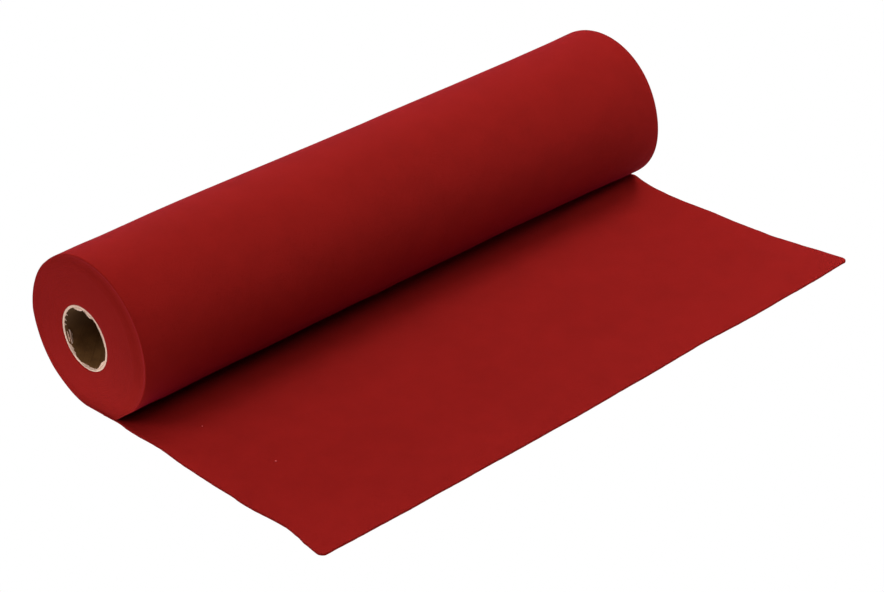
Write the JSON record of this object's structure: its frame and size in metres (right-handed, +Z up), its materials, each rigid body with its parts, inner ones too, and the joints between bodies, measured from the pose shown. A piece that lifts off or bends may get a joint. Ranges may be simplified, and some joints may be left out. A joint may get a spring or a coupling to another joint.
{
  "type": "roll of felt",
  "caption": "Length of felt wound on an open paper tube, its outer end pulled off from under the roll and laid flat in front.",
  "frame": {"origin": "on the surface that the roll rests on, under the roll's axis and halfway along it", "axes": "+X along the roll, from the end shown in the picture to the far end; +Z up; -Y the way the loose end lies"},
  "size_m": [0.4652, 0.2654, 0.1027],
  "materials": {
    "felt": "matt pressed felt in a deep red, with a short fuzz",
    "tube": "spiral-wound paper tube, pale where it is cut and brown inside"
  },
  "bodies": {
    "root": {"felt_winding": "felt", "loose_end": "felt", "paper_core": "tube"}
  },
  "joints": []
}
